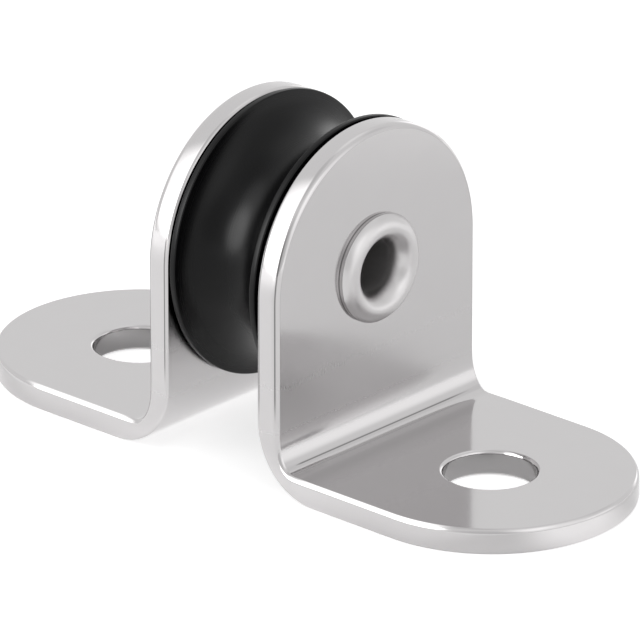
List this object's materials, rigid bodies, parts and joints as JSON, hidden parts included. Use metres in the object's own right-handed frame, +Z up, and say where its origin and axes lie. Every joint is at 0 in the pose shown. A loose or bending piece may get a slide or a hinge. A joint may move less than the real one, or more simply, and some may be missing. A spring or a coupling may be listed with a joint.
{
  "type": "stand-up block",
  "caption": "Upright deck block: a grooved sheave turns on a hollow rivet between bent cheeks with bolt-down feet.",
  "frame": {"origin": "on the deck plane, under the middle of the axle, midway between the feet's holes", "axes": "+Z up from the deck, +Y along the axle and through both feet, +X the way that the rope runs"},
  "size_m": [0.022, 0.0574, 0.026],
  "materials": {
    "cheek_steel": "polished, tumbled edges",
    "rivet_steel": "polished",
    "sleeve_steel": "ground",
    "bearing_plastic": "plain",
    "sheave_acetal": "satin"
  },
  "bodies": {
    "frame": {"front_cheek": "cheek_steel", "rear_cheek": "cheek_steel", "hollow_rivet": "rivet_steel", "spacer_sleeve": "sleeve_steel"},
    "wheel": {"sheave": "sheave_acetal", "sheave_bush": "bearing_plastic"}
  },
  "joints": [
    {"name": "sheave_spin", "type": "hinge", "parent": "frame", "child": "wheel", "pos_m": [0, 0, 0.015], "axis": [0, 1, 0], "continuous": true}
  ]
}
